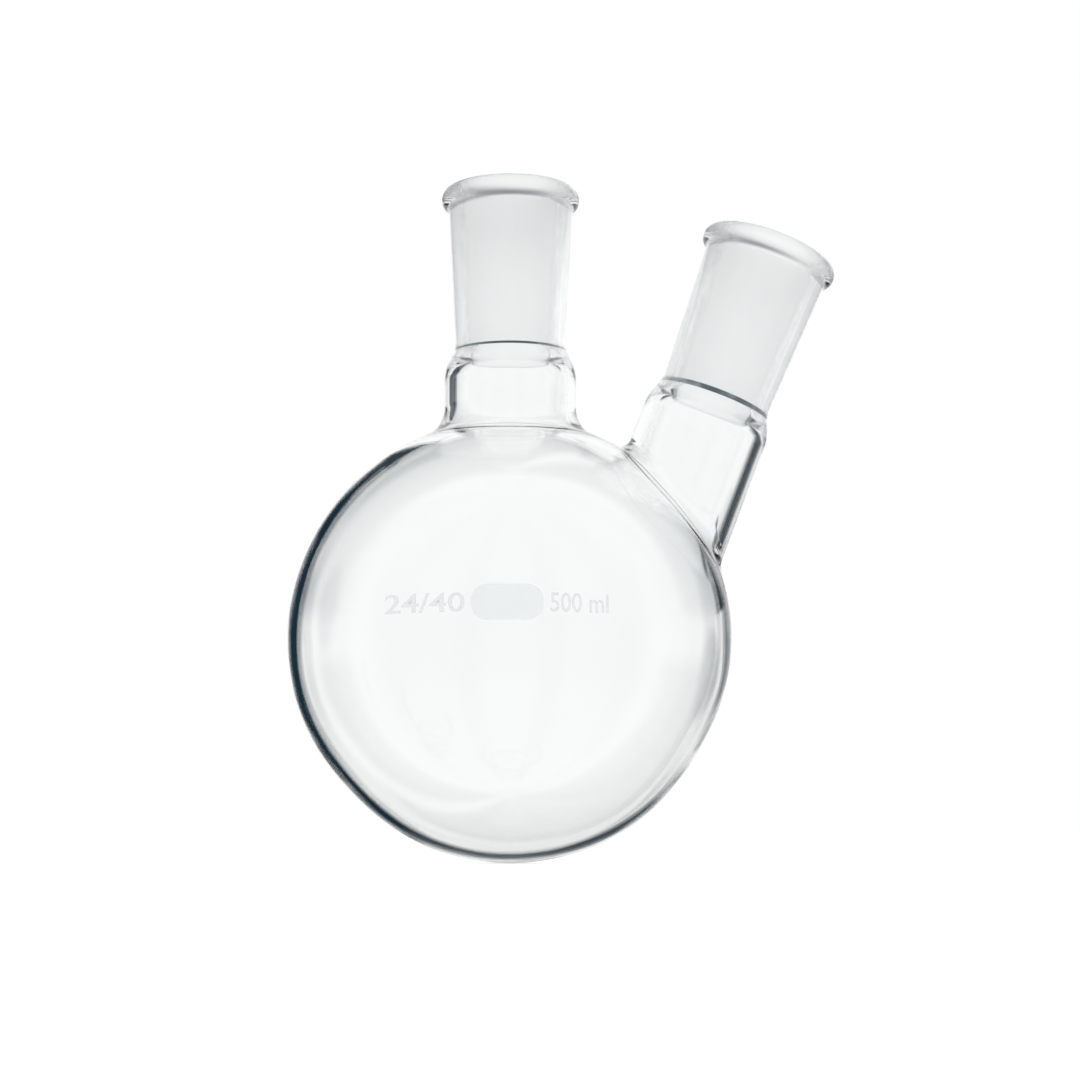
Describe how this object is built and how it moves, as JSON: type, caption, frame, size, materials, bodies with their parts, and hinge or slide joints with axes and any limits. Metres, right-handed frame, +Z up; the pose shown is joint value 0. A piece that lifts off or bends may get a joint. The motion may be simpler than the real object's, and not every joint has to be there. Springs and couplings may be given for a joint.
{
  "type": "two neck flask",
  "caption": "Clear round bottom glass flask with an upright centre neck and an inclined side neck, each with a ground tapered socket and a thickened rim.",
  "frame": {"origin": "lowest point of the bulb, on the axis of the centre neck", "axes": "+Z up the centre neck, +X towards the side neck, the print faces -Y"},
  "size_m": [0.1306, 0.1051, 0.162],
  "materials": {
    "glass": "clear and polished, satin inside the ground sockets",
    "patch_enamel": "matt white fired enamel",
    "number_enamel": "pale grey fired enamel"
  },
  "bodies": {
    "root": {"flask": "glass", "marking_patch": "patch_enamel", "size_print": "number_enamel"}
  },
  "joints": []
}
